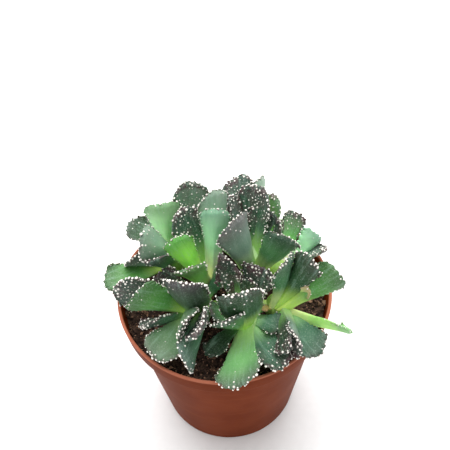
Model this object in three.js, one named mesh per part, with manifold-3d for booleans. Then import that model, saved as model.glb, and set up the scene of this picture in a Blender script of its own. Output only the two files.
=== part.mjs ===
// A clump of warty-leaved living stones in a 5.5 cm plastic nursery pot.
// Millimetres, +Z up. The origin is the centre of the pot's flat base.
// In the view that the sizes come from, +X is to the right and +Y points away.
import * as THREE from 'three';
import { mergeVertices } from 'three/addons/utils/BufferGeometryUtils.js';
import Module from 'manifold-3d';

const wasm = await Module();
wasm.setup();

// Driving dimensions of the pot
const POT_HEIGHT = 46;
const RIM_RADIUS = 27.5;
const BAND_HEIGHT = 5.5;
const BAND_LOW_RADIUS = 26.8;
const BODY_TOP_RADIUS = 25.05;
const BASE_RADIUS = 19.2;
const WALL = 0.8;
const FLOOR = 1.2;
const LIP = 0.35;
const POT_SIDES = 32;
const DRAIN_HOLES = 4;
const DRAIN_RADIUS = 1.75;
const DRAIN_CIRCLE = 11;

// Driving dimensions of the soil and of the plant
const GAP = 0.3;
const SOIL_LEVEL = 42;
const SOIL_BUMP = 0.45;
const HOLE_DEPTH = 4;
const STEM_RADIUS = 2.2;
const STEM_SIDES = 10;
const CROWN_RADIUS = 3.1;
const CROWN_HEIGHT = 9;
const CROWN_DROP = 1.8;
const LEAF_SINK = 1.5;
const APEX_ARC = 0.13;
const CUP = 0.45;
const WART = 0.45;
const TOOTH_OUT = 0.03;
const TOOTH_IN = -0.01;
const FULL_LENGTH = 20;
const FINEST = 0.03;

// Stations along a leaf, as parts of its length: half width as a part of the widest, and thickness
const WIDTHS = [[0, 0.55], [0.15, 0.47], [0.3, 0.5], [0.5, 0.66], [0.7, 0.84], [0.85, 0.95], [1, 1]];
const THICKNESSES = [[0, 3], [0.3, 2.6], [0.6, 2], [0.85, 1.5], [1, 1.3]];
const STATIONS = [0, 0.3, 0.58, 0.8, 0.92, 1];
const FACE_POINTS = 9;
const BACK_POINTS = 3;

// Each head: the point where its leaves meet, and its leaves.
// A leaf is [azimuth, lift, length, width, roll, recurve]: degrees round +Z from +X, degrees above
// level, mm, mm, degrees of turn about its own length, degrees of bend away from its upper face.
// Two more numbers shape single leaves: how far the corners of the tip fall back, as a part of the
// length, and how full the leaf's waist is, from 0 to 1.
const HEADS = {
  head_front: {
    crown: [4.5, -10, 48],
    leaves: [
      [260, 73, 21.5, 10.6, 18, -10, 0.13, 0.8],
      [129, 68, 17.5, 6.8, -42, 0, 0.45, 0],
      [52, 60, 12, 10, 0, 3, 0.06, 0],
      [95, 74, 9, 8, 0, 8],
      [295, 5, 16.4, 8.3, -12, 3, 0.13, 0.9],
      [262, 11, 20.4, 11.8, 31, 4],
      [243, 53, 16.8, 9, 38, 0, 0.13, 0.8],
      [205, 40, 9, 8, 0, 3],
      [230, 2, 13, 7, 20, 3],
    ],
  },
  head_back: {
    crown: [7.5, 4, 49],
    leaves: [
      [222, 77, 24.2, 10.8, 92, 0],
      [45, 75, 16.4, 12, 1, 4],
      [326, 65, 19.7, 9.4, -72, 0],
      [98, 38, 23.2, 11.6, -45, 7],
      [78, 72, 21.8, 11.9, -40, 0],
      [80, 40, 22.5, 10.5, -100, 5],
      [50, 66, 19.5, 10, -30, 6],
      [106, 55, 18.5, 10, 45, 5],
      [92, 14, 20, 11.5, 5, 8],
      [125, 8, 16, 10, 0, 8],
    ],
  },
  head_centre: {
    crown: [-4, 2, 49],
    leaves: [
      [24, 85, 24, 7.6, -120, 10],
      [70, 69, 23.5, 9.5, -125, 4],
      [125, 70, 19, 11.5, 5, 5],
      [204, 72, 20.5, 7.8, 82, 7],
      [247, 60, 19.5, 8.2, 32, 4],
    ],
  },
  head_left: {
    crown: [-6, -5, 47],
    leaves: [
      [245, 71, 21, 10.6, 12, -6, 0.13, 0.7],
      [203, 42, 21, 10.5, 88, 0],
      [189, 34, 21.5, 11.5, -92, 5],
      [209, 13, 15.5, 9.5, 50, 5],
      [257, 37, 18, 9.4, -110, 0],
      [236, 9, 18.8, 9.5, -8, 5],
      [267, 40, 19.2, 9.4, 57, 1],
      [258, 13, 20.5, 9, 112, 0],
      [160, 35, 12, 9, -40, 3],
    ],
  },
  head_back_left: {
    crown: [-11, 10, 48],
    leaves: [
      [60, 68, 20.4, 11, 61, 4],
      [174, 85, 21, 9.7, 99, 3],
      [155, 30, 15, 10, 12, 5],
      [227, 58, 21.5, 9.4, 113, -6],
      [208, 8, 20.2, 9.6, -5, 8],
      [201, 22, 14.3, 8.6, 61, 5],
      [243, 49, 18.5, 7.6, 31, 0],
      [122, 8, 16, 10, 0, 8],
      [85, 12, 15, 10, 0, 8],
    ],
  },
  head_right: {
    crown: [12.8, -7.3, 48],
    leaves: [
      [168, 100, 19, 8.6, 154, 0],
      [345, 73, 21, 7.8, -124, 5],
      [345, 52, 20.8, 8.4, -115, 0],
      [325, 60, 12.5, 4.4, 93, -6],
      [330, 4, 18.3, 6, -55, 3],
      [297, 3, 16, 9, 10, 3],
      [280, 15, 16, 8.2, 90, 3],
      [270, 17, 16, 6.4, 56, 3],
    ],
  },
  head_back_right: {
    crown: [14.3, 4.5, 48],
    leaves: [
      [61, 41, 13.9, 9.4, 60, 4],
      [28, 25, 12, 10, -96, 3],
      [12, 17, 12.2, 8.6, -37, 5],
      [78, 8, 14, 9.5, 0, 8],
    ],
  },
};

const radians = THREE.MathUtils.degToRad;
const smooth = (x) => THREE.MathUtils.smoothstep(x, 0, 1);

function valueAt(pairs, s) {
  const i = Math.max(1, pairs.findIndex(([at]) => at >= s));
  const [[s0, v0], [s1, v1]] = [pairs[i - 1], pairs[i]];
  return v0 + ((v1 - v0) * (s - s0)) / (s1 - s0);
}

// Closed geometry to manifold solid, and back
function solid(geometry) {
  const bare = geometry.clone();
  bare.deleteAttribute('normal');
  bare.deleteAttribute('uv');
  const merged = mergeVertices(bare, 1e-4);
  const mesh = new wasm.Mesh({
    numProp: 3,
    vertProperties: new Float32Array(merged.attributes.position.array),
    triVerts: new Uint32Array(merged.index.array),
  });
  return new wasm.Manifold(mesh);
}

function geometryOf(body) {
  const mesh = body.getMesh();
  const geometry = new THREE.BufferGeometry();
  geometry.setAttribute('position', new THREE.BufferAttribute(mesh.vertProperties, 3));
  geometry.setIndex(new THREE.BufferAttribute(mesh.triVerts, 1));
  geometry.computeVertexNormals();
  return geometry;
}

function facetedGeometry(points, triangles) {
  const geometry = new THREE.BufferGeometry();
  geometry.setAttribute('position', new THREE.Float32BufferAttribute(points.flatMap((p) => p.toArray()), 3));
  geometry.setIndex(triangles.flat());
  return geometry;
}

function piece(name, geometry, color, roughness) {
  const material = new THREE.MeshStandardMaterial({ color, roughness, metalness: 0 });
  const mesh = new THREE.Mesh(geometry, material);
  mesh.name = name;
  return mesh;
}

function lathe(outline, sides) {
  const profile = outline.map(([r, z]) => new THREE.Vector2(r, z));
  return new THREE.LatheGeometry(profile, sides).rotateX(Math.PI / 2);
}

function post(radius, low, high, sides, x, y) {
  const rod = new THREE.CylinderGeometry(radius, radius, high - low, sides);
  return rod.rotateX(Math.PI / 2).translate(x, y, (low + high) / 2);
}

// One thick spoon-shaped leaf round a bent centreline, widest at its toothed and warty end
function leaf([azimuth, lift, length, width, roll, recurve, apexArc = APEX_ARC, belly = 0]) {
  const [a, l, r, bend] = [azimuth, lift, roll, recurve].map(radians);
  const ahead = new THREE.Vector3(Math.cos(l) * Math.cos(a), Math.cos(l) * Math.sin(a), Math.sin(l));
  const face = new THREE.Vector3(-Math.sin(l) * Math.cos(a), -Math.sin(l) * Math.sin(a), Math.cos(l));
  face.applyAxisAngle(ahead, r);
  const across = new THREE.Vector3().crossVectors(ahead, face);
  const root = new THREE.Vector3(Math.cos(a), Math.sin(a), 0).multiplyScalar(LEAF_SINK);

  const pointAt = (s, t, onFace, raised, shift) => {
    const u = s - apexArc * t * t * s ** 4 + shift;
    const turn = bend * (0.5 - u);
    const along = bend ? (Math.sin(bend / 2) - Math.sin(turn)) / bend : u;
    const off = bend ? (Math.cos(turn) - Math.cos(bend / 2)) / bend : 0;
    const normal = face.clone().multiplyScalar(Math.cos(turn)).addScaledVector(ahead, -Math.sin(turn));
    const part = valueAt(WIDTHS, s);
    const half = (width / 2) * (part + belly * (1 - part) * smooth((s - 0.05) / 0.4));
    const thick = valueAt(THICKNESSES, s) * Math.min(1, length / FULL_LENGTH);
    const cupped = CUP * half * 0.5 * (t * t - 0.35) * smooth(s / 0.8);
    const height = onFace ? cupped + raised : cupped - thick * (1 - 0.45 * t * t);
    return root.clone()
      .addScaledVector(ahead, length * along)
      .addScaledVector(face, length * off)
      .addScaledVector(across, half * t)
      .addScaledVector(normal, height);
  };

  const count = FACE_POINTS + BACK_POINTS;
  const points = [];
  STATIONS.forEach((s, row) => {
    for (let j = 0; j < FACE_POINTS; j += 1) {
      const t = -1 + (2 * j) / (FACE_POINTS - 1);
      const warty = s > 0.75 && s < 1 && (j + row) % 2 === 0;
      const shift = s < 1 ? 0 : j % 2 ? TOOTH_IN : TOOTH_OUT;
      points.push(pointAt(s, t, true, warty ? WART : 0, shift));
    }
    for (let j = 1; j <= BACK_POINTS; j += 1) {
      points.push(pointAt(s, 1 - (2 * j) / (BACK_POINTS + 1), false, 0, 0));
    }
  });

  const triangles = [];
  for (let row = 0; row < STATIONS.length - 1; row += 1) {
    for (let j = 0; j < count; j += 1) {
      const [p, q] = [row * count + j, row * count + ((j + 1) % count)];
      triangles.push([p, q, q + count], [p, q + count, p + count]);
    }
  }
  for (const first of [0, (STATIONS.length - 1) * count]) {
    const ring = points.slice(first, first + count);
    const middle = ring.reduce((sum, p) => sum.add(p), new THREE.Vector3()).divideScalar(count);
    points.push(middle);
    for (let j = 0; j < count; j += 1) {
      const [p, q] = [first + j, first + ((j + 1) % count)];
      triangles.push(first ? [points.length - 1, p, q] : [points.length - 1, q, p]);
    }
  }
  return facetedGeometry(points, triangles);
}

// A head: its leaves fused to a small crown on a stem that reaches down into the soil
function head(name, { crown, leaves }) {
  const [x, y, z] = crown;
  const stemFoot = SOIL_LEVEL - HOLE_DEPTH + GAP - z;
  let body = solid(post(STEM_RADIUS, stemFoot, 0, STEM_SIDES, 0, 0));
  const core = new THREE.SphereGeometry(CROWN_RADIUS, STEM_SIDES, 6).rotateX(Math.PI / 2);
  core.scale(1, 1, CROWN_HEIGHT / 2 / CROWN_RADIUS).translate(0, 0, -CROWN_DROP);
  body = body.add(solid(core));
  for (const row of leaves) {
    body = body.add(solid(leaf(row)));
  }
  // Only the outer skin is kept, so no hollow stays sealed between the leaf bases
  const [whole] = body.decompose().sort((p, q) => q.volume() - p.volume());
  const mesh = piece(name, geometryOf(whole.simplify(FINEST)), 0x5f8f55, 0.5);
  mesh.position.set(x, y, z);
  return mesh;
}

// Thin plastic pot with a rim band, a rolled lip and drain holes in its floor
function pot() {
  const bandFoot = POT_HEIGHT - BAND_HEIGHT;
  const outline = [
    [0, 0],
    [BASE_RADIUS - 0.6, 0],
    [BASE_RADIUS, 0.6],
    [BODY_TOP_RADIUS, bandFoot],
    [BAND_LOW_RADIUS, bandFoot],
    [RIM_RADIUS, POT_HEIGHT - LIP],
    [RIM_RADIUS - LIP, POT_HEIGHT],
    [RIM_RADIUS - WALL, POT_HEIGHT],
    [BAND_LOW_RADIUS - WALL, bandFoot + WALL],
    [BODY_TOP_RADIUS - WALL, bandFoot - WALL],
    [BASE_RADIUS - WALL, FLOOR],
    [0, FLOOR],
  ];
  let body = solid(lathe(outline, POT_SIDES));
  for (let i = 0; i < DRAIN_HOLES; i += 1) {
    const turn = (i + 0.5) * ((2 * Math.PI) / DRAIN_HOLES);
    const [x, y] = [DRAIN_CIRCLE * Math.cos(turn), DRAIN_CIRCLE * Math.sin(turn)];
    body = body.subtract(solid(post(DRAIN_RADIUS, -1, FLOOR + 1, 8, x, y)));
  }
  return piece('pot', geometryOf(body), 0x9c5138, 0.45);
}

// Soil that fills the pot, with an uneven top and a plain hole for each stem
function soil() {
  const rings = [0, 5, 10, 15, 20, 24, BAND_LOW_RADIUS - WALL - GAP];
  const bandFoot = POT_HEIGHT - BAND_HEIGHT;
  const outline = [
    [0, FLOOR + GAP],
    [BASE_RADIUS - WALL - GAP, FLOOR + GAP],
    [BODY_TOP_RADIUS - WALL - GAP, bandFoot - WALL],
    [BAND_LOW_RADIUS - WALL - GAP, bandFoot + WALL],
    ...rings.reverse().map((r) => [r, SOIL_LEVEL]),
  ];
  const filling = lathe(outline, POT_SIDES);
  const at = filling.attributes.position;
  for (let i = 0; i < at.count; i += 1) {
    const [x, y, z] = [at.getX(i), at.getY(i), at.getZ(i)];
    if (z > SOIL_LEVEL - 0.01) {
      at.setZ(i, z + SOIL_BUMP * Math.sin(0.9 * x + 1) * Math.cos(0.8 * y + 0.3 * x));
    }
  }
  let body = solid(filling);
  for (const { crown: [x, y] } of Object.values(HEADS)) {
    const hole = post(STEM_RADIUS + GAP, SOIL_LEVEL - HOLE_DEPTH, SOIL_LEVEL + 2, STEM_SIDES, x, y);
    body = body.subtract(solid(hole));
  }
  return piece('soil', geometryOf(body), 0x3a2922, 0.95);
}

const plantInPot = new THREE.Group();
plantInPot.name = 'potted_plant';
plantInPot.add(pot(), soil());
for (const [name, spec] of Object.entries(HEADS)) {
  plantInPot.add(head(name, spec));
}

export default plantInPot;
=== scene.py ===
# A clump of warty-leaved living stones in a 5.5 cm nursery pot, dressed round its CAD frame.
# Metres, +Z up. The origin is the centre of the pot's flat base, and MM turns millimetres into metres.
import math
from collections import namedtuple

import bmesh
import bpy
import numpy as np
from mathutils import Matrix, Vector


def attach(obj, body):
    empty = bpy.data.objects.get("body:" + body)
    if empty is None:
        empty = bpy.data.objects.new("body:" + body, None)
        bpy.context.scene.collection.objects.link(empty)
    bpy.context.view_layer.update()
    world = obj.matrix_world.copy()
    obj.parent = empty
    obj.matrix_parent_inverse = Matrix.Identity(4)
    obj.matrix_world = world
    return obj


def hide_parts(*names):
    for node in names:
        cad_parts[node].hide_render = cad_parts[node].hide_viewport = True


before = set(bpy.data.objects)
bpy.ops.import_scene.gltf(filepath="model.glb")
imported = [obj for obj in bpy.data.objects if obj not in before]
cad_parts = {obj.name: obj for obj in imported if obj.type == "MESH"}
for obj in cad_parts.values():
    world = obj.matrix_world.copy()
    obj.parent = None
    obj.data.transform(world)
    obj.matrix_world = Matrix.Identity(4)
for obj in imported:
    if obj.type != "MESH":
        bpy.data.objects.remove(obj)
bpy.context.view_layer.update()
MM = 0.001


# The pot: a thin nursery pot of terracotta-coloured polypropylene, moulded in one piece.
# A wide band stiffens its rim, a small edge ends it, painted paler orange there as a highlight, and four
# holes drain its floor.
POT_HEIGHT = 46
RIM_RADIUS = 27.5
BAND_HEIGHT = 5.5
BAND_LOW_RADIUS = 26.8
BODY_TOP_RADIUS = 25.05
BASE_RADIUS = 19.2
WALL = 0.8
FLOOR = 1.2
EDGE_ROUND = 0.6
ARC_SHARE = 0.45
BAND_FOOT = POT_HEIGHT - BAND_HEIGHT
POT_SIDES = 160
SOFT_EDGE_DEGREES = 40
DRAIN_HOLES = 4
DRAIN_RADIUS = 1.75
DRAIN_CIRCLE = 11
DRAIN_SIDES = 32
DRILL_LENGTH = 6
POT_BROWN = (110, 46, 16)
POT_SHADE = (101, 41, 14)
POT_SCUFF = (128, 62, 32)
# The paler orange at the rim's top edge is a painted highlight. It fades in between these depths below the
# top, in mm
LIP_PAINTED_HIGHLIGHT = (182, 112, 88)
HIGHLIGHT_FADE_START = 0.9
HIGHLIGHT_FADE_END = 0.1
PLASTIC_GRAIN_DEPTH = 0.03


def linear(colour):
    """An sRGB colour from 0 to 255 as the renderer's linear RGBA."""
    parts = [c / 255 for c in colour]
    return (*[p / 12.92 if p <= 0.04045 else ((p + 0.055) / 1.055) ** 2.4 for p in parts], 1.0)


def new_object(name, mesh):
    """Puts a mesh in the scene under that name."""
    made = bpy.data.objects.new(name, mesh)
    bpy.context.scene.collection.objects.link(made)
    return made


def keep_shape(source):
    """Works an object's modifiers into its mesh, and removes them."""
    bpy.context.view_layer.update()
    ready = source.evaluated_get(bpy.context.evaluated_depsgraph_get())
    mesh = bpy.data.meshes.new_from_object(ready)
    source.modifiers.clear()
    source.data = mesh


def turned(outline, sides):
    """A closed shell: the outline of (radius, height) in mm turned round +Z, each pole a single point."""
    shell = bmesh.new()
    rings = []
    for radius, height in outline:
        turns = [2 * math.pi * i / sides for i in range(sides if radius else 1)]
        ring = [(radius * MM * math.cos(a), radius * MM * math.sin(a), height * MM) for a in turns]
        rings.append([shell.verts.new(place) for place in ring])
    for low, high in zip(rings, rings[1:]):
        for i in range(sides):
            j = (i + 1) % sides
            corners = [low[i % len(low)], low[j % len(low)], high[j % len(high)], high[i % len(high)]]
            shell.faces.new(dict.fromkeys(corners))
    bmesh.ops.recalc_face_normals(shell, faces=shell.faces)
    mesh = bpy.data.meshes.new("turned")
    shell.to_mesh(mesh)
    shell.free()
    return mesh


def rounded(corners, radius, steps=5):
    """The outline with each corner that isn't on the axis turned into a small arc."""
    points = []
    for i, corner in enumerate(corners):
        here = Vector(corner)
        if i in (0, len(corners) - 1):
            points.append(tuple(here))
            continue
        before, after = Vector(corners[i - 1]) - here, Vector(corners[i + 1]) - here
        reach = min(radius, before.length * ARC_SHARE, after.length * ARC_SHARE)
        start, end = here + before.normalized() * reach, here + after.normalized() * reach
        for k in range(steps + 1):
            t = k / steps
            points.append(tuple(start * (1 - t) ** 2 + here * (2 * t * (1 - t)) + end * t**2))
    return points


class Wire:
    """One output of a node. An expression on wires and numbers adds the Math nodes that it needs."""

    def __init__(self, nodes, socket):
        self.nodes = nodes
        self.socket = socket

    def math(self, operation, first, second):
        return self.nodes.add("ShaderNodeMath", {"operation": operation}, {0: first, 1: second})

    def __add__(self, other):
        return self.math("ADD", self, other)

    def __sub__(self, other):
        return self.math("SUBTRACT", self, other)

    def __rsub__(self, other):
        return self.math("SUBTRACT", other, self)

    def __mul__(self, other):
        return self.math("MULTIPLY", self, other)

    def __gt__(self, other):
        return self.math("GREATER_THAN", self, other)

    def __lt__(self, other):
        return self.math("LESS_THAN", self, other)

    __radd__ = __add__
    __rmul__ = __mul__

    def between(self, low, high, bottom=0.0, top=1.0):
        """Climbs smoothly from bottom to top while this wire goes from low to high."""
        settings = {"interpolation_type": "SMOOTHSTEP"}
        inputs = {"Value": self, "From Min": low, "From Max": high, "To Min": bottom, "To Max": top}
        return self.nodes.add("ShaderNodeMapRange", settings, inputs)


class Nodes:
    """A node tree that nodes are added to, each with its settings and the values or wires of its sockets."""

    def __init__(self, tree):
        self.tree = tree

    def add(self, kind, settings=None, inputs=None, output=0):
        """Adds a node, joins or sets its sockets, and gives the wire of one of its outputs."""
        node = self.tree.nodes.new(kind)
        for name, value in (settings or {}).items():
            setattr(node, name, value)
        for key, value in (inputs or {}).items():
            socket = self.pick(node.inputs, key)
            if isinstance(value, Wire):
                self.tree.links.new(value.socket, socket)
            else:
                socket.default_value = value
        return Wire(self, self.pick(node.outputs, output)) if len(node.outputs) else None

    def pick(self, sockets, key):
        """The socket at that place, or the one in use that has that name."""
        if isinstance(key, int):
            return sockets[key]
        return next(s for s in sockets if s.name == key and s.enabled)


class Finish(Nodes):
    """A material whose colour, roughness and relief are worked out by nodes."""

    def __init__(self, name):
        self.material = bpy.data.materials.new(name)
        self.material.use_nodes = True
        super().__init__(self.material.node_tree)
        self.tree.nodes.clear()
        self.place = self.add("ShaderNodeTexCoord", {}, {}, "Object")

    def attribute(self, name, output):
        """The mesh's own values of that name, as a Color, a Vector or one number, Fac."""
        return self.add("ShaderNodeAttribute", {"attribute_name": name}, {}, output)

    def mix(self, factor, first, second, blend="MIX"):
        """A colour between two colours, or another blend of them."""
        settings = {"data_type": "RGBA", "blend_type": blend}
        return self.add("ShaderNodeMix", settings, {"Factor": factor, "A": first, "B": second}, "Result")

    def noise(self, where, scale, detail=3.0, roughness=0.5):
        """Smooth noise, scale times finer than a metre."""
        inputs = {"Vector": where, "Scale": scale, "Detail": detail, "Roughness": roughness}
        return self.add("ShaderNodeTexNoise", {}, inputs)

    def done(self, colour, roughness, relief, depth, **steady):
        """Joins the wires to the shader. depth is how far the relief stands proud, in mm."""
        inputs = {"Strength": 1.0, "Distance": depth * MM, "Height": relief}
        normal = self.add("ShaderNodeBump", {}, inputs)
        inputs = {"Base Color": colour, "Roughness": roughness, "Normal": normal, **steady}
        shader = self.add("ShaderNodeBsdfPrincipled", {}, inputs)
        self.add("ShaderNodeOutputMaterial", {}, {"Surface": shader})
        return self.material


def moulded_plastic():
    """Satin plastic with faint clouds and scuffed rings in its brown, and a painted highlight that turns the
    top edge of its rim paler orange.
    """
    finish = Finish("moulded_plastic")
    height = finish.add("ShaderNodeSeparateXYZ", {}, {0: finish.place}, "Z")
    clouds = finish.noise(finish.place, scale=90, detail=4)
    grain = finish.noise(finish.place, scale=1800, detail=2)
    flattened = finish.add("ShaderNodeMapping", {}, {"Vector": finish.place, "Scale": (1.0, 1.0, 9.0)})
    rings = finish.noise(flattened, scale=70, detail=3)
    # A painted highlight: the rim's top edge is painted paler orange
    lip_highlight = height.between((POT_HEIGHT - HIGHLIGHT_FADE_START) * MM, (POT_HEIGHT - HIGHLIGHT_FADE_END) * MM, 0.0, 0.75)
    colour = finish.mix(clouds.between(0.35, 0.7), linear(POT_BROWN), linear(POT_SHADE))
    colour = finish.mix(rings.between(0.55, 0.8, 0.0, 0.35), colour, linear(POT_SCUFF))
    colour = finish.mix(lip_highlight, colour, linear(LIP_PAINTED_HIGHLIGHT))
    roughness = 0.42 + clouds * 0.12
    relief = grain * 0.5 + rings * 0.5
    return finish.done(colour, roughness, relief, PLASTIC_GRAIN_DEPTH, **{"Specular IOR Level": 0.02})


pot_outline = [
    (BASE_RADIUS, 0),
    (BODY_TOP_RADIUS, BAND_FOOT),
    (BAND_LOW_RADIUS, BAND_FOOT),
    (RIM_RADIUS, POT_HEIGHT),
    (RIM_RADIUS - WALL, POT_HEIGHT),
    (BAND_LOW_RADIUS - WALL, BAND_FOOT + WALL),
    (BODY_TOP_RADIUS - WALL, BAND_FOOT - WALL),
    (BASE_RADIUS - WALL, FLOOR),
]
pot = new_object("nursery_pot", turned(rounded([(0, 0), *pot_outline, (0, FLOOR)], EDGE_ROUND), POT_SIDES))
for hole in range(DRAIN_HOLES):
    turn = (hole + 0.5) * 2 * math.pi / DRAIN_HOLES
    at = Matrix.Translation((DRAIN_CIRCLE * MM * math.cos(turn), DRAIN_CIRCLE * MM * math.sin(turn), 0))
    size = DRAIN_RADIUS * MM
    drill = bmesh.new()
    bmesh.ops.create_cone(drill, cap_ends=True, segments=DRAIN_SIDES, radius1=size, radius2=size,
                          depth=DRILL_LENGTH * MM, matrix=at)
    drill_mesh = bpy.data.meshes.new("drill")
    drill.to_mesh(drill_mesh)
    drill.free()
    cutter = new_object("drill", drill_mesh)
    cut = pot.modifiers.new("drain", "BOOLEAN")
    cut.operation = "DIFFERENCE"
    cut.object = cutter
    keep_shape(pot)
    bpy.data.objects.remove(cutter)
pot.data.materials.clear()
pot.data.materials.append(moulded_plastic())
pot.data.shade_smooth()
pot.data.set_sharp_from_angle(angle=math.radians(SOFT_EDGE_DEGREES))
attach(pot, "root")
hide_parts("pot")


# The soil: moist black peat with shreds of red-brown bark, pressed into the pot and uneven on top.
# It lies a hair clear of the pot's wall. Loose crumbs of three kinds are scattered over it.
SOIL_LEVEL = 42
GAP = 0.3
SOIL_BUMP = 0.45
SOIL_LUMPS = (-0.35, 0.2)
SOIL_RINGS = 26
SOIL_SIDES = 96
SOIL_SEED = 5
TOP_TOLERANCE = 0.01
FULL_TURN = 6.28
CRUMB_STRETCH = 1.35
PEAT_BLACK = (34, 25, 21)
PEAT_BROWN = (80, 60, 49)
BARK_RED = (172, 134, 108)
PEAT_LUMP_DEPTH = 0.4

# Each kind of crumb: how flat it is, its smallest and largest size in mm, and how many on a square metre
CRUMBS = {
    "coarse_crumb": (0.6, 0.6, 1.3, 400_000),
    "fine_crumb": (0.75, 0.25, 0.6, 1_600_000),
    "bark_shred": (0.3, 0.9, 2.1, 50_000),
}


def soil_height(x, y):
    """Height of the soil's top in mm, before its finer lumps."""
    return SOIL_LEVEL + SOIL_BUMP * math.sin(0.9 * x + 1) * math.cos(0.8 * y + 0.3 * x)


def crumbly_peat():
    """Dull lumpy peat. The crumbs that are drawn a high tint are shreds of bark."""
    finish = Finish("soil_peat")
    tint = finish.attribute("tint", "Fac")
    lumps = finish.noise(finish.place, scale=900, detail=5, roughness=0.65)
    colour = finish.mix(lumps.between(0.35, 0.65), linear(PEAT_BLACK), linear(PEAT_BROWN))
    colour = finish.mix(tint.between(0.6, 1.0, 0.0, 0.9), colour, linear(BARK_RED))
    return finish.done(colour, 0.85 + lumps * 0.12, lumps, PEAT_LUMP_DEPTH, **{"Specular IOR Level": 0.2})


def crumb(name, seed, squash, material):
    """One soil crumb about 1 m across, to be scaled down: a lumpy ball, flattened and stretched."""
    rng = np.random.default_rng(seed)
    ball = bmesh.new()
    bmesh.ops.create_icosphere(ball, subdivisions=1, radius=0.5)
    for corner in ball.verts:
        corner.co *= 0.75 + 0.5 * rng.random()
        corner.co.x *= CRUMB_STRETCH
        corner.co.z *= squash
    mesh = bpy.data.meshes.new(name)
    ball.to_mesh(mesh)
    ball.free()
    mesh.materials.append(material)
    return new_object(name, mesh)


class Growth(Nodes):
    """A Geometry Nodes tree with a mesh in, a mesh out and a named input for each size."""

    def __init__(self, name, sizes):
        super().__init__(bpy.data.node_groups.new(name, "GeometryNodeTree"))
        interface = self.tree.interface
        interface.new_socket("Mesh", in_out="INPUT", socket_type="NodeSocketGeometry")
        for size, kind in sizes.items():
            interface.new_socket(size, in_out="INPUT", socket_type="NodeSocket" + kind)
        interface.new_socket("Mesh", in_out="OUTPUT", socket_type="NodeSocketGeometry")
        entry = self.tree.nodes.new("NodeGroupInput")
        self.given = {socket.name: Wire(self, socket) for socket in entry.outputs if socket.name}

    def named(self, name, kind="FLOAT"):
        """The mesh's own values of that name."""
        settings = {"data_type": kind}
        return self.add("GeometryNodeInputNamedAttribute", settings, {"Name": name}, "Attribute")

    def drawn(self, low, high, step, kind="FLOAT"):
        """A value drawn for each point. Each step from the seed gives other draws."""
        inputs = {"Min": low, "Max": high, "Seed": self.given["Seed"] + step}
        return self.add("FunctionNodeRandomValue", {"data_type": kind}, inputs, "Value")

    def placed(self, inputs):
        """A copy of a shape on each point."""
        return self.add("GeometryNodeInstanceOnPoints", {}, inputs)

    def marked(self, copies, name, value):
        """The copies, with a value under that name on each."""
        settings = {"data_type": "FLOAT", "domain": "INSTANCE"}
        inputs = {"Geometry": copies, "Name": name, "Value": value}
        return self.add("GeometryNodeStoreNamedAttribute", settings, inputs)

    def joined(self, first, second):
        """Both geometries in one."""
        both = self.add("GeometryNodeJoinGeometry", {}, {"Geometry": first})
        self.tree.links.new(second.socket, both.socket.node.inputs["Geometry"])
        return both

    def done(self, geometry, chosen=True):
        """Ends the tree: the copies made real, and the given material on the faces that are chosen."""
        real = self.add("GeometryNodeRealizeInstances", {}, {"Geometry": geometry})
        inputs = {"Geometry": real, "Selection": chosen, "Material": self.given["Material"]}
        finished = self.add("GeometryNodeSetMaterial", {}, inputs)
        self.add("NodeGroupOutput", {}, {"Mesh": finished})
        return self.tree


def grow(target, tree, values):
    """Runs a tree on an object with these input values, and keeps the mesh that it makes."""
    modifier = target.modifiers.new(tree.name, "NODES")
    modifier.node_group = tree
    for socket in tree.interface.items_tree:
        if socket.in_out == "INPUT" and socket.name in values:
            modifier[socket.identifier] = values[socket.name]
    keep_shape(target)


def crumb_tree():
    """Scatters crumbs of random size and turn over a surface and keeps the surface under them."""
    growth = Growth("scatter_crumbs", {
        "Crumb": "Object",
        "Per square metre": "Float",
        "Smallest": "Float",
        "Largest": "Float",
        "Seed": "Int",
        "Material": "Material",
    })
    given = growth.given
    points = growth.add("GeometryNodeDistributePointsOnFaces", {"distribute_method": "RANDOM"}, {
        "Mesh": given["Mesh"],
        "Selection": growth.named("top"),
        "Density": given["Per square metre"],
        "Seed": given["Seed"],
    })
    crumbs = growth.placed({
        "Points": points,
        "Instance": growth.add("GeometryNodeObjectInfo", {}, {"Object": given["Crumb"]}, "Geometry"),
        "Rotation": growth.drawn((0.0,) * 3, (FULL_TURN,) * 3, 0, "FLOAT_VECTOR"),
        "Scale": growth.drawn(given["Smallest"], given["Largest"], 1),
    })
    crumbs = growth.marked(crumbs, "tint", growth.drawn(0.0, 1.0, 2))
    return growth.done(growth.joined(given["Mesh"], crumbs))


soil_edge = BAND_LOW_RADIUS - WALL - GAP
soil_outline = [
    (0, FLOOR + GAP),
    (BASE_RADIUS - WALL - GAP, FLOOR + GAP),
    (BODY_TOP_RADIUS - WALL - GAP, BAND_FOOT - WALL),
    (soil_edge, BAND_FOOT + WALL),
    *[(soil_edge * (1 - i / SOIL_RINGS), SOIL_LEVEL) for i in range(SOIL_RINGS + 1)],
]
soil = new_object("potting_soil", turned(soil_outline, SOIL_SIDES))
soil_top = soil.data.attributes.new("top", "FLOAT", "POINT")
soil_rng = np.random.default_rng(SOIL_SEED)
for point in soil.data.vertices:
    x, y, z = [c / MM for c in point.co]
    if z > SOIL_LEVEL - TOP_TOLERANCE:
        point.co.z = (soil_height(x, y) + soil_rng.uniform(*SOIL_LUMPS)) * MM
        soil_top.data[point.index].value = 1.0
peat = crumbly_peat()
soil.data.materials.append(peat)
scatter = crumb_tree()
for seed, (name, (squash, smallest, largest, density)) in enumerate(CRUMBS.items()):
    shape = crumb(name, seed + 1, squash, peat)
    grow(soil, scatter, {
        "Crumb": shape,
        "Per square metre": density,
        "Smallest": smallest * MM,
        "Largest": largest * MM,
        "Seed": seed,
        "Material": peat,
    })
    bpy.data.objects.remove(shape)
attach(soil, "root")
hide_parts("soil")


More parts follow.
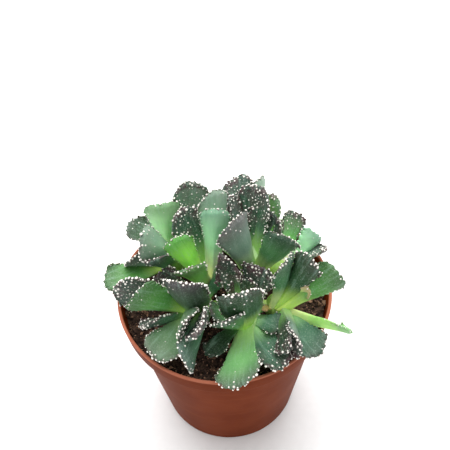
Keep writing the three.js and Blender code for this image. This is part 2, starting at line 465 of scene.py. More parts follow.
# The heads: seven rosettes of thick spoon-shaped leaves, each on a short stem that stands in the soil.
# A leaf is smooth and yellow-green at its root. Its broad scalloped end is edged and studded with
# pale warts. The leaves are grown out of the crown, so a head is one mesh with its warts set into it.
FIRST_HEAD_SEED = 20
MERGE_WITHIN = 0.004

# The stem, and the crown on it that the leaves grow from
STEM_RADIUS = 2.2
STEM_FOOT_RADIUS = 1.87
STEM_FOOT_BEVEL = 0.4
STEM_TOP = -6.0
CROWN_RADIUS = 3.1
CROWN_HEIGHT = 9
CROWN_DROP = 1.8
CROWN_RINGS = 9
CROWN_SWELL_DEGREES = (-45, 89)
CROWN_TONE_SPAN = (-6.5, -2.0)
HOLE_DEPTH = 4
CORE_SIDES = 24
STEM_OLIVE = (112, 116, 76)
CROWN_LIME = (170, 204, 104)

# A leaf. Places along it go from 0 at its root to 1 at its end, and places across it from -1 to 1.
# Its width is given there as a part of its greatest width, and its thickness in mm. A span gives the
# two places between which something sets in or fades. The higher a power is, the closer to the
# leaf's tip or margins its change keeps.
WIDTHS = [(0, 0.55), (0.15, 0.47), (0.3, 0.5), (0.5, 0.66), (0.7, 0.84), (0.85, 0.95), (1, 1)]
THICKNESSES = [(0, 3), (0.3, 2.6), (0.6, 2), (0.85, 1.5), (1, 1.3)]
LEAF_SINK = 1.5
FULL_LENGTH = 20
BELLY_SPAN = (0.05, 0.45)
APEX_ARC = 0.13
POINTED_ARC = 0.3
POINTED_POWER = 1.3
BROAD_POWER = 2
CORNER_ROUND = 0.035
CORNER_POWER = 8
TIP_POWER = 4
TIP_UNEVENNESS = 0.012
TIP_WAVES = 4
CUP = 0.45
CUP_LEVEL = 0.35
CUP_FULL = 0.8
KEEL = 0.3
KEEL_WIDTH = 0.25
KEEL_FADE_SPAN = (0.5, 0.95)
MARGIN = 0.999
MARGIN_THINNING = 0.45
ROUND_END = 0.93
RIPPLE = 0.4
RIPPLE_SPAN = (0.3, 0.8)
RIPPLE_POWER = 2.5
WAVES_ALONG = 8
WAVES_ACROSS = 3
WAVE_SHIFT = 6.3
LOBE_PITCH = 1.6
LOBE_DEPTH = 0.55
LOBE_BLUNTNESS = 0.7
LOBE_SHIFT = 3
LOBE_REACH = (0.8, 1.0)
SIDE_LOBE_SPAN = (0.45, 0.6)
TIP_LOBE_SPAN = (0.88, 1.0)
STRAIGHT = 1e-4
STREAK = 0.12
GRAIN_DEGREES = 10
LEAF_ROWS = 54
LEAF_RING = 64
ROW_CROWDING = 1.35
RING_EVENNESS = 0.75
SECTION_POWER = 3
TIE_BREAK = 1e-9

# Its warts. They crowd in a band along its rim, wider on its upper face, and those of the rim point
# away from a hub on the leaf. A wart is modelled 2 m across and scaled to its radius here in mm.
# A grade is a pair: the value for a bare face, and what is added to it for a fully warty one.
UPPER_BAND = 2.6
UPPER_BAND_GRADE = (0.35, 0.65)
LOWER_BAND = 0.9
BAND_FADE = (0.25, 1.0)
BARE_SIDE = 9
WARTY = 0.5
WARTY_SIDE_START = 0.35
SMOOTH_SIDE_START = 0.55
SIDE_FADE = 0.2
RIM_ROW_DELAY = 0.1
UPPER_WART_SPAN = (0.38, 0.68)
LOWER_WART_SPAN = (0.6, 0.92)
FACE_CROWDING = 0.6
HUB = 0.62
WART_SPACING = 0.72
WARTS_PER_SQUARE_METRE = 3e6
RIM_SPACING = 1.05
RIM_SHAKE = 0.14
RIM_WART = 0.36
FACE_WART = 0.27
WART_GRADE = (0.75, 0.25)
WART_GRADE_PACE = 5
RIM_WART_SPREAD = (0.5, 1.15)
FACE_WART_SPREAD = (0.45, 1.15)
PALENESS_SPREAD = (0.55, 1.2)
RIM_KEPT_BARE = 0.2
RIM_KEPT_UPPER = 0.2
RIM_KEPT_LOWER = 3
RIM_KEPT_MOST = 0.65
WART_SIDES = 7
WART_RINGS = [(1.0, -0.45), (0.95, 0.2), (0.6, 0.7)]
WART_TOP = 0.92
WART_WHITE = (255, 252, 244)
WART_CREAM = (230, 216, 200)
WART_FOOT = (120, 98, 92)
WART_GRAIN_DEPTH = 0.03

# Its skin. Each tone: the leaf's colour at its root, along its body and at its broad end.
# Several tones are lighter or darker copies of one green that paint light and shade onto their leaves:
# the near-white roots are the leaf's own paler base with a painted glow of light through the flesh,
# and "deep" and "shade" carry painted shade for leaves that lie in the clump's shadow.
TONES = {
    "glow": ((255, 255, 160), (168, 246, 96), (112, 184, 84)),
    "bright": ((255, 255, 180), (198, 255, 136), (140, 196, 124)),
    "lime": ((246, 255, 176), (140, 206, 100), (108, 156, 88)),
    "meadow": ((228, 255, 130), (86, 148, 68), (70, 110, 60)),
    "fern": ((212, 248, 168), (138, 200, 124), (86, 110, 82)),
    "fresh": ((232, 255, 150), (120, 190, 104), (82, 116, 76)),
    "mint": ((255, 255, 214), (188, 248, 194), (150, 198, 164)),
    "milky": ((246, 255, 196), (198, 252, 184), (136, 178, 128)),
    "teal": ((230, 252, 170), (72, 124, 80), (74, 110, 82)),
    "lagoon": ((172, 220, 150), (70, 116, 88), (60, 86, 68)),
    "ash": ((220, 248, 186), (158, 194, 164), (154, 176, 156)),
    "sage": ((206, 240, 160), (112, 148, 106), (98, 120, 94)),
    "moss": ((190, 234, 112), (72, 122, 68), (60, 86, 62)),
    "jade": ((232, 254, 160), (92, 146, 94), (62, 90, 70)),
    "deep": ((196, 238, 110), (36, 76, 40), (42, 64, 42)),
    # A painted shadow: this tone darkens a leaf that lies in deep shade
    "shade": ((90, 140, 80), (38, 70, 44), (44, 64, 46)),
    "slate": ((184, 228, 134), (80, 122, 92), (82, 102, 92)),
    "plum": ((190, 226, 146), (128, 154, 138), (110, 110, 108)),
    "dusky": ((128, 176, 96), (64, 84, 66), (60, 56, 60)),
    "sheath": ((176, 166, 96), (182, 150, 96), (150, 112, 74)),
    "withered": ((210, 244, 116), (156, 226, 104), (206, 184, 136)),
}
DUSK_PURPLE = (86, 58, 66)
DUSK_GREEN = (36, 60, 46)
STREAK_PALE = (170, 208, 190)
DOT_PALE = (206, 216, 202)
BLOOM_PALE = (190, 214, 190)
DEEPENING = (0.62, 0.78, 0.7, 1)
BODY_TONE_SPAN = (0.15, 0.55)
END_TONE_SPAN = (0.6, 0.98)
TONE_SPREAD = (0.93, 1.07)
# Each face is painted lighter along its middle and darker at its margins: a painted highlight and painted
# shade
MIDDLE_PAINTED_HIGHLIGHT = 1.1
MARGIN_PAINTED_SHADE = 0.2
UPPER_DUSK_GRADE = (0.25, 0.6)
LOWER_DUSK_GRADE = (0.12, 0.9)
FACE_DUSK = 0.6
MOST_DUSK = 0.9
LEAF_GRAIN_DEPTH = 0.06

# A leaf's lengths are in mm. Its angles are in degrees: azimuth round +Z from +X, lift above level,
# roll about its own length, and recurve away from its upper face. upper and lower say how warty
# those faces are, from 0 to 1. apex_arc is how far the corners of its tip fall back, as a part of
# its length, and belly is how full its waist is, from 0 to 1.
Leaf = namedtuple(
    "Leaf", "azimuth lift length width roll recurve tone upper lower apex_arc belly", defaults=(APEX_ARC, 0)
)

# Each head: the point where its leaves meet, in mm, and its leaves
HEADS = {
    "head_front": ((4.5, -10, 48), [
        Leaf(260, 73, 21.5, 10.6, 18, -10, "deep", 1.0, 0.25, 0.13, 0.8),
        Leaf(129, 68, 17.5, 6.8, -42, 0, "dusky", 1.0, 0.2, 0.45, 0),
        Leaf(52, 60, 12, 10, 0, 3, "dusky", 1.0, 0.4, 0.06, 0),
        Leaf(95, 74, 9, 8, 0, 8, "dusky", 1.0, 0.3),
        Leaf(295, 5, 16.4, 8.3, -12, 3, "lagoon", 0.5, 0.2, 0.13, 0.9),
        Leaf(262, 11, 20.4, 11.8, 31, 4, "fern", 0.04, 0.2),
        Leaf(243, 53, 16.8, 9, 38, 0, "moss", 0.9, 0.12, 0.13, 0.8),
        Leaf(205, 40, 9, 8, 0, 3, "moss", 0.3, 0.1),
        # This leaf's dark tone is painted shadow
        Leaf(230, 2, 13, 7, 20, 3, "shade", 0.1, 0.02),
        Leaf(328, 10, 8.5, 7, 0, 3, "lagoon", 0.1, 0.05),
    ]),
    "head_back": ((7.5, 4, 49), [
        Leaf(222, 77, 24.2, 10.8, 92, 0, "plum", 0.8, 0.12),
        Leaf(45, 75, 16.4, 12, 1, 4, "slate", 1.0, 0.3),
        Leaf(326, 65, 19.7, 9.4, -72, 0, "jade", 0.8, 0.06),
        Leaf(98, 38, 23.2, 11.6, -45, 7, "slate", 0.9, 0.4),
        Leaf(78, 72, 21.8, 11.9, -40, 0, "slate", 0.9, 0.4),
        Leaf(80, 40, 22.5, 10.5, -100, 5, "ash", 0.6, 0.25),
        Leaf(50, 66, 19.5, 10, -30, 6, "lime", 0.5, 0.1),
        Leaf(106, 55, 18.5, 10, 45, 5, "plum", 0.9, 0.4),
        Leaf(92, 14, 20, 11.5, 5, 8, "moss", 0.7, 0.2),
        Leaf(125, 8, 16, 10, 0, 8, "sage", 0.7, 0.2),
    ]),
    "head_centre": ((-4, 2, 49), [
        Leaf(24, 85, 24, 7.6, -120, 10, "mint", 0.8, 0.02),
        Leaf(70, 69, 23.5, 9.5, -125, 4, "ash", 0.8, 0.1),
        Leaf(125, 70, 19, 11.5, 5, 5, "slate", 0.95, 0.3),
        Leaf(204, 72, 20.5, 7.8, 82, 7, "glow", 0.7, 0.02),
        Leaf(247, 60, 19.5, 8.2, 32, 4, "lime", 0.9, 0.1),
    ]),
    "head_left": ((-6, -5, 47), [
        Leaf(245, 71, 21, 10.6, 12, -6, "dusky", 1.0, 0.15, 0.13, 0.7),
        Leaf(203, 42, 21, 10.5, 88, 0, "meadow", 0.8, 0.04),
        Leaf(189, 34, 21.5, 11.5, -92, 5, "slate", 0.9, 0.7),
        Leaf(209, 13, 15.5, 9.5, 50, 5, "slate", 0.9, 0.5),
        Leaf(257, 37, 18, 9.4, -110, 0, "sage", 0.9, 0.2),
        Leaf(236, 9, 18.8, 9.5, -8, 5, "sage", 0.15, 0.2),
        Leaf(267, 40, 19.2, 9.4, 57, 1, "plum", 1.0, 0.4),
        Leaf(258, 13, 20.5, 9, 112, 0, "slate", 0.9, 0.1),
        Leaf(160, 35, 12, 9, -40, 3, "dusky", 1.0, 0.4),
        Leaf(330, 25, 6, 7, 0, 3, "moss", 0.2, 0.1),
        Leaf(20, 64, 11, 6.5, 172, 0, "lagoon", 0.1, 0.02),
    ]),
    "head_back_left": ((-11, 10, 48), [
        Leaf(60, 68, 20.4, 11, 61, 4, "ash", 0.8, 0.6),
        Leaf(174, 85, 21, 9.7, 99, 3, "milky", 0.7, 0.03),
        Leaf(155, 30, 15, 10, 12, 5, "deep", 0.15, 0.06),
        Leaf(227, 58, 21.5, 9.4, 113, -6, "ash", 0.8, 0.3),
        Leaf(208, 8, 20.2, 9.6, -5, 8, "meadow", 0.08, 0.1),
        Leaf(201, 22, 14.3, 8.6, 61, 5, "plum", 0.6, 0.3),
        Leaf(243, 49, 18.5, 7.6, 31, 0, "slate", 0.9, 0.15),
        Leaf(122, 8, 16, 10, 0, 8, "moss", 0.6, 0.2),
        Leaf(85, 12, 15, 10, 0, 8, "sage", 0.6, 0.2),
    ]),
    "head_right": ((12.8, -7.3, 48), [
        Leaf(168, 100, 19, 8.6, 154, 0, "teal", 0.8, 0.15),
        Leaf(345, 73, 21, 7.8, -124, 5, "deep", 0.9, 0.2),
        Leaf(345, 52, 20.8, 8.4, -115, 0, "meadow", 0.3, 0.02),
        Leaf(325, 60, 12.5, 4.4, 93, -6, "withered", 0.02, 0.02),
        Leaf(330, 4, 18.3, 6, -55, 3, "bright", 0.05, 0.03),
        Leaf(297, 3, 16, 9, 10, 3, "lagoon", 0.06, 0.2),
        Leaf(280, 15, 16, 8.2, 90, 3, "plum", 0.95, 0.1),
        Leaf(195, 28, 6.5, 7, 0, 3, "fresh", 0.1, 0.1),
        Leaf(270, 17, 16, 6.4, 56, 3, "dusky", 1.0, 0.4),
        Leaf(215, 42, 6, 4, 0, -10, "sheath", 0, 0),
    ]),
    "head_back_right": ((14.3, 4.5, 48), [
        Leaf(61, 41, 13.9, 9.4, 60, 4, "fresh", 0.8, 0.5),
        Leaf(28, 25, 12, 10, -96, 3, "mint", 0.3, 0.03),
        Leaf(12, 17, 12.2, 8.6, -37, 5, "plum", 0.6, 0.3),
        Leaf(78, 8, 14, 9.5, 0, 8, "moss", 0.6, 0.2),
    ]),
}


def flowing(pairs, s):
    """The value at s of a smooth curve through (place, value) pairs."""
    places, values = np.array(pairs, float).T
    slopes = np.gradient(values, places)
    i = np.clip(np.searchsorted(places, s, side="right") - 1, 0, len(places) - 2)
    span = places[i + 1] - places[i]
    t = (s - places[i]) / span
    start = (1 + 2 * t) * (1 - t) ** 2 * values[i] + t * (1 - t) ** 2 * span * slopes[i]
    return start + t**2 * (3 - 2 * t) * values[i + 1] - t**2 * (1 - t) * span * slopes[i + 1]


def ramp(x, low, high):
    """Climbs smoothly from 0 at low to 1 at high."""
    t = np.clip((x - low) / (high - low), 0, 1)
    return t * t * (3 - 2 * t)


def graded(grade, wartiness):
    """The value of a grade for a face that is this warty, from 0 to 1."""
    bare, added = grade
    return bare + added * wartiness


def lobes(along, shift):
    """Depth in mm of the notches between the lobes of a leaf's margin, at this way along it in mm."""
    return LOBE_DEPTH * (1 - np.abs(np.sin(math.pi * along / LOBE_PITCH + shift)) ** LOBE_BLUNTNESS)


def leaf_frame(leaf):
    """The directions along a leaf, out of its upper face and across it."""
    turn, lift, roll = np.radians([leaf.azimuth, leaf.lift, leaf.roll])
    ahead = np.array([math.cos(lift) * math.cos(turn), math.cos(lift) * math.sin(turn), math.sin(lift)])
    level = np.array([-math.sin(lift) * math.cos(turn), -math.sin(lift) * math.sin(turn), math.cos(lift)])
    face = math.cos(roll) * level + math.sin(roll) * np.cross(ahead, level)
    return ahead, face, np.cross(ahead, face)


def leaf_grid():
    """The places of a leaf's points: s along it from 0 to 1, t across it from -1 to 1, and depth from
    -1 in the middle of its lower face to 1 in the middle of its upper one, with 0 at its margins."""
    s = 1 - np.linspace(1, 0, LEAF_ROWS)[:, None] ** ROW_CROWDING
    turn = np.linspace(0, 2, LEAF_RING, endpoint=False)[None, :]
    even = 1 - 2 * np.minimum(turn, 2 - turn)
    t = RING_EVENNESS * even + (1 - RING_EVENNESS) * np.cos(math.pi * turn)
    depth = np.sign(1 - turn - TIE_BREAK) * np.sqrt(1 - np.abs(t) ** SECTION_POWER)
    return np.broadcast_arrays(s, t, depth)


def leaf_points(leaf, crown, rng):
    """One leaf's points in mm, its half width and lobed half width at each, and the hub of its tip."""
    s, t, depth = leaf_grid()
    ahead, face, across = leaf_frame(leaf)
    turn = math.radians(leaf.azimuth)
    root = np.array(crown, float) + LEAF_SINK * np.array([math.cos(turn), math.sin(turn), 0])
    bend = math.radians(leaf.recurve) or STRAIGHT

    # Seen from above: a waist, a broad end, and lobes along its margins
    part = flowing(WIDTHS, s)
    half = leaf.width / 2 * (part + leaf.belly * (1 - part) * ramp(s, *BELLY_SPAN))
    notches = lobes(s * leaf.length, rng.uniform(0, LOBE_SHIFT))
    side = half - notches * ramp(s, *SIDE_LOBE_SPAN) * ramp(np.abs(t), *LOBE_REACH)

    # In section: thinner at its margins, rounded off at its end, cupped, rippled and keeled below
    full = flowing(THICKNESSES, s) * min(1, leaf.length / FULL_LENGTH) * (1 - MARGIN_THINNING * t**2)
    thick = full * np.sqrt(np.clip(1 - ramp(s, ROUND_END, 1.0) ** 2, 0, 1))
    wave = np.sin(WAVES_ALONG * s * np.sign(t) + WAVES_ACROSS * t + rng.uniform(0, WAVE_SHIFT))
    ripple = RIPPLE * wave * np.abs(t) ** RIPPLE_POWER * ramp(s, *RIPPLE_SPAN)
    keel = KEEL * np.exp(-((t / KEEL_WIDTH) ** 2)) * (1 - ramp(s, *KEEL_FADE_SPAN)) * (depth < 0)
    cupped = CUP * half / 2 * (t**2 - CUP_LEVEL) * ramp(s / CUP_FULL, 0, 1) + ripple
    height = cupped - full / 2 + depth * (thick / 2) - keel

    # Along its length: a lobed tip with rounded corners, on a centreline bent to an arc
    notch = lobes(t * half, rng.uniform(0, LOBE_SHIFT)) / leaf.length * ramp(s, *TIP_LOBE_SPAN)
    fall = np.abs(t) ** (POINTED_POWER if leaf.apex_arc > POINTED_ARC else BROAD_POWER)
    at_tip = s**TIP_POWER
    uneven = TIP_UNEVENNESS * np.sin(TIP_WAVES * t + rng.uniform(0, WAVE_SHIFT)) * at_tip
    u = s - (leaf.apex_arc * fall + CORNER_ROUND * t**CORNER_POWER) * at_tip - notch + uneven
    angle = bend * (0.5 - u)
    along = (math.sin(bend / 2) - np.sin(angle)) / bend
    off = (np.cos(angle) - math.cos(bend / 2)) / bend
    normal = np.cos(angle)[..., None] * face - np.sin(angle)[..., None] * ahead
    points = (root + (leaf.length * along)[..., None] * ahead + (leaf.length * off)[..., None] * face
              + (side * t)[..., None] * across + height[..., None] * normal)
    return points, half, side, root + HUB * leaf.length * ahead


def leaf_colours(leaf, rim, studded, rng):
    """One leaf's colour at each point, and how far the dusk of its warty places covers it."""
    s, t, depth = leaf_grid()
    roots, body, end = [np.array(linear(c)) for c in TONES[leaf.tone]]
    colour = roots + (body - roots) * ramp(s, *BODY_TONE_SPAN)[..., None]
    colour = colour + (end - colour) * ramp(s, *END_TONE_SPAN)[..., None]
    upper_dusk, lower_dusk = graded(UPPER_DUSK_GRADE, leaf.upper), graded(LOWER_DUSK_GRADE, leaf.lower)
    dusk = np.clip(np.where(depth > 0, upper_dusk, lower_dusk) * rim + FACE_DUSK * studded, 0, MOST_DUSK)
    # A random tone, times a painted highlight along the middle and painted shade towards the margins
    colour = colour * rng.uniform(*TONE_SPREAD) * (MIDDLE_PAINTED_HIGHLIGHT - MARGIN_PAINTED_SHADE * t**2)[..., None]
    colour[..., 3] = 1
    return colour, dusk


# What a head's mesh carries on each point: its colour, how dusky and how warty it is there, the leaf's
# rim, how many of the rim's warts are kept, their size and which way they face, and the leaf's grain
LAYERS = {
    "skin": "FLOAT_COLOR",
    "dusk": "FLOAT",
    "warty": "FLOAT",
    "rim": "FLOAT",
    "rim_kept": "FLOAT",
    "wart_size": "FLOAT",
    "outward": "FLOAT_VECTOR",
    "grain": "FLOAT_VECTOR",
}
LAYER_VALUES = {"FLOAT_COLOR": "color", "FLOAT": "value", "FLOAT_VECTOR": "vector"}


def in_rows(grids):
    """Grids of values with one row for each point."""
    return {name: grid.reshape(-1, grid.shape[-1] if grid.ndim > 2 else 1) for name, grid in grids.items()}


def tube_faces(rows, ring, closed_top):
    """The faces of a tube of rings of points, wound to face outwards, its foot capped and maybe its top."""
    faces = [tuple(range(ring))]
    for i in range(rows - 1):
        for j in range(ring):
            k = (j + 1) % ring
            faces.append((i * ring + j, (i + 1) * ring + j, (i + 1) * ring + k, i * ring + k))
    return faces + [tuple(reversed(range((rows - 1) * ring, rows * ring)))] * closed_top


def leaf_surface(leaf, crown, rng):
    """One leaf: its points in mm with their layers, and its faces."""
    s, t, depth = leaf_grid()
    points, half, side, hub = leaf_points(leaf, crown, rng)

    # How far in from its rim its warts crowd, and how warty its faces are beyond that
    side_start = WARTY_SIDE_START if leaf.upper > WARTY else SMOOTH_SIDE_START
    from_side = half * (1 - np.abs(t)) * 2 + BARE_SIDE * (1 - ramp(s, side_start, side_start + SIDE_FADE))
    band = np.where(depth > 0, UPPER_BAND * graded(UPPER_BAND_GRADE, leaf.upper), LOWER_BAND)
    rim = 1 - ramp(np.minimum((1 - s) * leaf.length, from_side) / band, *BAND_FADE)
    upper_warts, lower_warts = leaf.upper * ramp(s, *UPPER_WART_SPAN), leaf.lower * ramp(s, *LOWER_WART_SPAN)
    studded = np.where(depth > 0, upper_warts, lower_warts)

    # How large its warts are, and which of those in the row on its rim are kept
    growth = graded(WART_GRADE, min(1, WART_GRADE_PACE * leaf.lower))
    wart = (FACE_WART + (RIM_WART - FACE_WART) * rim) * growth
    edge = (np.abs(t) > MARGIN) & (s > side_start + RIM_ROW_DELAY)
    edge[-1] = True
    kept = RIM_KEPT_BARE + RIM_KEPT_LOWER * leaf.lower + RIM_KEPT_UPPER * leaf.upper
    outward = points - hub
    outward /= np.maximum(1e-6, np.linalg.norm(outward, axis=-1, keepdims=True))
    apart = np.full(s.shape, leaf.azimuth / GRAIN_DEGREES)
    grain = np.stack([side * t, STREAK * s * leaf.length, apart], axis=-1)
    colour, dusk = leaf_colours(leaf, rim, studded, rng)
    layers = in_rows({
        "points": points,
        "skin": colour,
        "dusk": dusk,
        "warty": np.clip(np.maximum(rim, studded * FACE_CROWDING), 0, 1),
        "rim": edge.astype(float),
        "rim_kept": np.full(s.shape, min(RIM_KEPT_MOST, kept)),
        "wart_size": wart * MM,
        "outward": outward,
        "grain": grain * MM,
    })
    return layers, tube_faces(*s.shape, False)


def crown_core(crown):
    """A head's stem and crown: their points in mm with their layers, and their faces."""
    foot = SOIL_LEVEL - HOLE_DEPTH + GAP - crown[2]
    swell = np.radians(np.linspace(*CROWN_SWELL_DEGREES, CROWN_RINGS))
    stem = [(STEM_FOOT_RADIUS, foot), (STEM_RADIUS, foot + STEM_FOOT_BEVEL), (STEM_RADIUS, STEM_TOP)]
    radii = np.concatenate([[radius for radius, height in stem], CROWN_RADIUS * np.cos(swell)])
    heights = np.concatenate([[height for radius, height in stem],
                              CROWN_HEIGHT / 2 * np.sin(swell) - CROWN_DROP])
    turn = np.linspace(2 * math.pi, 0, CORE_SIDES, endpoint=False)[None, :]
    across = np.stack([radii[:, None] * np.cos(turn), radii[:, None] * np.sin(turn)], axis=-1)
    height = np.broadcast_to(heights[:, None, None], (*across.shape[:2], 1))
    points = np.concatenate([across, height], axis=-1) + np.array(crown, float)
    low, high = np.array(linear(STEM_OLIVE)), np.array(linear(CROWN_LIME))
    bare = np.zeros(across.shape[:2])
    layers = in_rows({
        "points": points,
        "skin": low + (high - low) * ramp(height, *CROWN_TONE_SPAN),
        **{name: bare for name in ("dusk", "warty", "rim", "rim_kept", "wart_size")},
        "outward": np.broadcast_to(np.array([0.0, 0.0, 1.0]), points.shape),
        "grain": points * MM,
    })
    return layers, tube_faces(*bare.shape, True)


def leafy_mesh(name, crown, leaves, rng):
    """A head in one mesh, with the layers that its warts and its skin are made from."""
    parts = [crown_core(crown)] + [leaf_surface(leaf, crown, rng) for leaf in leaves]
    points = np.concatenate([layers["points"] for layers, faces in parts]) * MM
    all_faces = []
    start = 0
    for layers, faces in parts:
        all_faces += [tuple(i + start for i in face) for face in faces]
        start += len(layers["points"])
    mesh = bpy.data.meshes.new(name)
    mesh.from_pydata(points.tolist(), [], all_faces)
    for layer, kind in LAYERS.items():
        values = np.concatenate([layers[layer] for layers, faces in parts]).astype(np.float32)
        mesh.attributes.new(layer, kind, "POINT").data.foreach_set(LAYER_VALUES[kind], values.ravel())
    shell = bmesh.new()
    shell.from_mesh(mesh)
    bmesh.ops.remove_doubles(shell, verts=shell.verts, dist=MERGE_WITHIN * MM)
    shell.to_mesh(mesh)
    shell.free()
    mesh.shade_smooth()
    return mesh


def wart_shape(material):
    """One wart 2 m across, to be scaled down: a low dome with a rounder pale tip."""
    dome = bmesh.new()
    tip = dome.verts.layers.float.new("tip")
    turns = [2 * math.pi * i / WART_SIDES for i in range(WART_SIDES)]
    rings = []
    for radius, height in WART_RINGS:
        ring = [dome.verts.new((radius * math.cos(turn), radius * math.sin(turn), height)) for turn in turns]
        for corner in ring:
            corner[tip] = max(0, height)
        rings.append(ring)
    apex = dome.verts.new((0, 0, WART_TOP))
    apex[tip] = 1
    for low, high in zip(rings, rings[1:]):
        for i in range(WART_SIDES):
            j = (i + 1) % WART_SIDES
            dome.faces.new((low[i], low[j], high[j], high[i]))
    for i in range(WART_SIDES):
        dome.faces.new((rings[-1][i], rings[-1][(i + 1) % WART_SIDES], apex))
    dome.faces.new(rings[0][::-1])
    mesh = bpy.data.meshes.new("wart")
    dome.to_mesh(mesh)
    dome.free()
    mesh.shade_smooth()
    mesh.materials.append(material)
    return new_object("wart", mesh)


def wart_tree():
    """Studs a head's leaves: warts packed where they are warty, and a row of larger ones along each rim."""
    growth = Growth("stud_with_warts", {
        "Wart": "Object",
        "Spacing": "Float",
        "Per square metre": "Float",
        "Rim spacing": "Float",
        "Seed": "Int",
        "Material": "Material",
    })
    given, named, drawn = growth.given, growth.named, growth.drawn
    shape = growth.add("GeometryNodeObjectInfo", {}, {"Object": given["Wart"]}, "Geometry")
    points = growth.add("GeometryNodeDistributePointsOnFaces", {"distribute_method": "POISSON"}, {
        "Mesh": given["Mesh"],
        "Distance Min": given["Spacing"],
        "Density Max": given["Per square metre"],
        "Density Factor": named("warty"),
        "Seed": given["Seed"],
    })
    packed = growth.placed({
        "Points": points,
        "Instance": shape,
        "Rotation": Wire(growth, points.socket.node.outputs["Rotation"]),
        "Scale": named("wart_size") * drawn(*FACE_WART_SPREAD, 1),
    })

    on_rim = {"Mesh": given["Mesh"], "Selection": named("rim") > 0.99}
    rim = growth.add("GeometryNodeMeshToCurve", {}, on_rim)
    spaced = {"Curve": rim, "Length": given["Rim spacing"]}
    rim = growth.add("GeometryNodeResampleCurve", {"mode": "LENGTH"}, spaced)
    rim = growth.add("GeometryNodeCurveToPoints", {"mode": "EVALUATED"}, {"Curve": rim}, "Points")
    shake = drawn((-RIM_SHAKE * MM,) * 3, (RIM_SHAKE * MM,) * 3, 5, "FLOAT_VECTOR")
    rim = growth.add("GeometryNodeSetPosition", {}, {"Geometry": rim, "Offset": shake})
    outward = {"Vector": named("outward", "FLOAT_VECTOR")}
    row = growth.placed({
        "Points": rim,
        "Selection": drawn(0.0, 1.0, 8) < named("rim_kept"),
        "Instance": shape,
        "Rotation": growth.add("FunctionNodeAlignRotationToVector", {"axis": "Z"}, outward),
        "Scale": named("wart_size") * drawn(*RIM_WART_SPREAD, 6),
    })

    warts = growth.joined(packed, row)
    warts = growth.marked(warts, "pale", drawn(*PALENESS_SPREAD, 7))
    warts = growth.marked(warts, "is_wart", 1.0)
    return growth.done(growth.joined(given["Mesh"], warts), named("is_wart") > 0.5)


def dusky_skin(finish):
    """The leaf's colour, tinted in purple and dark green mottles where warts crowd."""
    skin = finish.attribute("skin", "Color")
    dusk = finish.attribute("dusk", "Fac")
    mottle = finish.noise(finish.place, scale=420, detail=3, roughness=0.6)
    tint = finish.mix(mottle.between(0.4, 0.6), linear(DUSK_PURPLE), linear(DUSK_GREEN))
    return finish.mix(dusk * mottle.between(0.2, 0.8, 1.15, 0.75), skin, tint)


def leaf_skin():
    """Fleshy skin: clouded, streaked along the leaf, finely dotted and dusted with a pale bloom."""
    finish = Finish("leaf_skin")
    skin = dusky_skin(finish)
    clouds = finish.noise(finish.place, scale=260, detail=4)
    fine = finish.noise(finish.place, scale=2600, detail=3, roughness=0.6)
    streaks = finish.noise(finish.attribute("grain", "Vector"), scale=1300, detail=4, roughness=0.6)
    fine_cells = {"Vector": finish.place, "Scale": 1700.0}
    cells = finish.add("ShaderNodeTexVoronoi", {"feature": "F1"}, fine_cells, "Distance")
    dots = 1 - cells.between(0.12, 0.32)
    dotted = dots * (0.14 + finish.attribute("dusk", "Fac") * 0.3)
    deeper = finish.mix(1.0, skin, DEEPENING, "MULTIPLY")
    colour = finish.mix(clouds.between(0.3, 0.7, 0.0, 0.6), skin, deeper)
    colour = finish.mix(streaks.between(0.5, 0.3, 0.0, 0.5), colour, deeper)
    colour = finish.mix(streaks.between(0.5, 0.72, 0.0, 0.2), colour, linear(STREAK_PALE))
    colour = finish.mix(dotted, colour, linear(DOT_PALE))
    colour = finish.mix(fine.between(0.45, 0.75, 0.0, 0.14), colour, linear(BLOOM_PALE))
    relief = fine * 0.35 + dots * 0.65
    flesh = {"Specular IOR Level": 0.33, "Subsurface Weight": 0.12, "Subsurface Scale": 0.001,
             "Subsurface Radius": (0.5, 0.9, 0.3)}
    return finish.done(colour, 0.36 + clouds * 0.18, relief, LEAF_GRAIN_DEPTH, **flesh)


def wart_skin():
    """Chalky white warts, some cleaner than others, on a foot that takes the leaf's colour."""
    finish = Finish("wart_skin")
    skin = dusky_skin(finish)
    tip = finish.attribute("tip", "Fac")
    pale = finish.attribute("pale", "Fac")
    speckle = finish.noise(finish.place, scale=3000, detail=2)
    foot = finish.mix(0.35, skin, linear(WART_FOOT))
    top = finish.mix(speckle.between(0.3, 0.7, 0.0, 0.25), linear(WART_WHITE), linear(WART_CREAM))
    colour = finish.mix(tip.between(0.2, 0.5) * pale, foot, top)
    chalk = {"Specular IOR Level": 0.4}
    return finish.done(colour, 0.5 + speckle * 0.2, speckle, WART_GRAIN_DEPTH, **chalk)


wart_material = wart_skin()
skin_material = leaf_skin()
wart = wart_shape(wart_material)
studding = wart_tree()
for number, (name, (crown, leaves)) in enumerate(HEADS.items()):
    rng = np.random.default_rng(number + FIRST_HEAD_SEED)
    rosette = new_object(name + "_leaves", leafy_mesh(name + "_leaves", crown, leaves, rng))
    rosette.data.materials.append(skin_material)
    grow(rosette, studding, {
        "Wart": wart,
        "Spacing": WART_SPACING * MM,
        "Per square metre": WARTS_PER_SQUARE_METRE,
        "Rim spacing": RIM_SPACING * MM,
        "Seed": number * 10,
        "Material": wart_material,
    })
    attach(rosette, "root")
    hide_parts(name)
bpy.data.objects.remove(wart)


# The floor, the light and the camera: the pot stands on a flat sheet of white paper in a bright room,
# under a broad soft lamp behind it, and is seen from above its front.
FLOOR_METRES = 3.0
FLOOR_GREY = (0.86, 0.86, 0.86, 1)
FLOOR_PALE = (0.88, 0.88, 0.88, 1)
PAPER_GRAIN_DEPTH = 0.01
ROOM_BRIGHTNESS = 0.88

# The lamp's place and size are in metres, and its power in watts
SOFTBOX_PLACE = Vector((-0.02, 0.23, 0.47))
SOFTBOX_SIZE = 0.7
SOFTBOX_POWER = 5.2

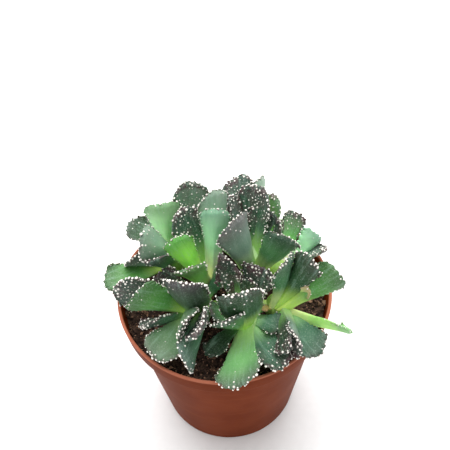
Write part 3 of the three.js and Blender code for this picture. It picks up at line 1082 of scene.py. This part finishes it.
# The camera's place and lens are in mm, and its angles in degrees
CAMERA_PLACE = Vector((0.0, -102.4, 180.4))
LOOK_DOWN = 47.25
LOOK_RIGHT = 0.6
CAMERA_ROLL = -3.1
FOCAL_LENGTH = 52.4
SENSOR_WIDTH = 36

reach = FLOOR_METRES / 2
floor_mesh = bpy.data.meshes.new("floor")
floor_corners = [(-reach, -reach, 0), (reach, -reach, 0), (reach, reach, 0), (-reach, reach, 0)]
floor_mesh.from_pydata(floor_corners, [], [(0, 1, 2, 3)])
floor = new_object("floor", floor_mesh)
floor_finish = Finish("floor_white")
paper = floor_finish.noise(floor_finish.place, scale=400, detail=2)
floor_tone = floor_finish.mix(paper.between(0.3, 0.7), FLOOR_GREY, FLOOR_PALE)
floor.data.materials.append(floor_finish.done(floor_tone, 0.8 + paper * 0.1, paper, PAPER_GRAIN_DEPTH))

world = bpy.data.worlds.new("studio")
world.use_nodes = True
world.node_tree.nodes["Background"].inputs["Color"].default_value = (1, 1, 1, 1)
world.node_tree.nodes["Background"].inputs["Strength"].default_value = ROOM_BRIGHTNESS
bpy.context.scene.world = world

softbox_data = bpy.data.lights.new("softbox", "AREA")
softbox_data.shape = "SQUARE"
softbox_data.size = SOFTBOX_SIZE
softbox_data.energy = SOFTBOX_POWER
softbox = bpy.data.objects.new("softbox", softbox_data)
bpy.context.scene.collection.objects.link(softbox)
aim = Vector((0, 0, POT_HEIGHT * MM)) - SOFTBOX_PLACE
facing = aim.to_track_quat("-Z", "Y").to_matrix().to_4x4()
softbox.matrix_world = Matrix.Translation(SOFTBOX_PLACE) @ facing

camera_data = bpy.data.cameras.new("camera")
camera_data.sensor_width = SENSOR_WIDTH
camera_data.lens = FOCAL_LENGTH
camera_data.clip_start = 0.01
camera = bpy.data.objects.new("camera", camera_data)
bpy.context.scene.collection.objects.link(camera)
camera.matrix_world = (
    Matrix.Translation(CAMERA_PLACE * MM)
    @ Matrix.Rotation(math.radians(-LOOK_RIGHT), 4, "Z")
    @ Matrix.Rotation(math.radians(90 - LOOK_DOWN), 4, "X")
    @ Matrix.Rotation(math.radians(CAMERA_ROLL), 4, "Z")
)
bpy.context.scene.camera = camera
bpy.context.scene.view_settings.view_transform = "Standard"
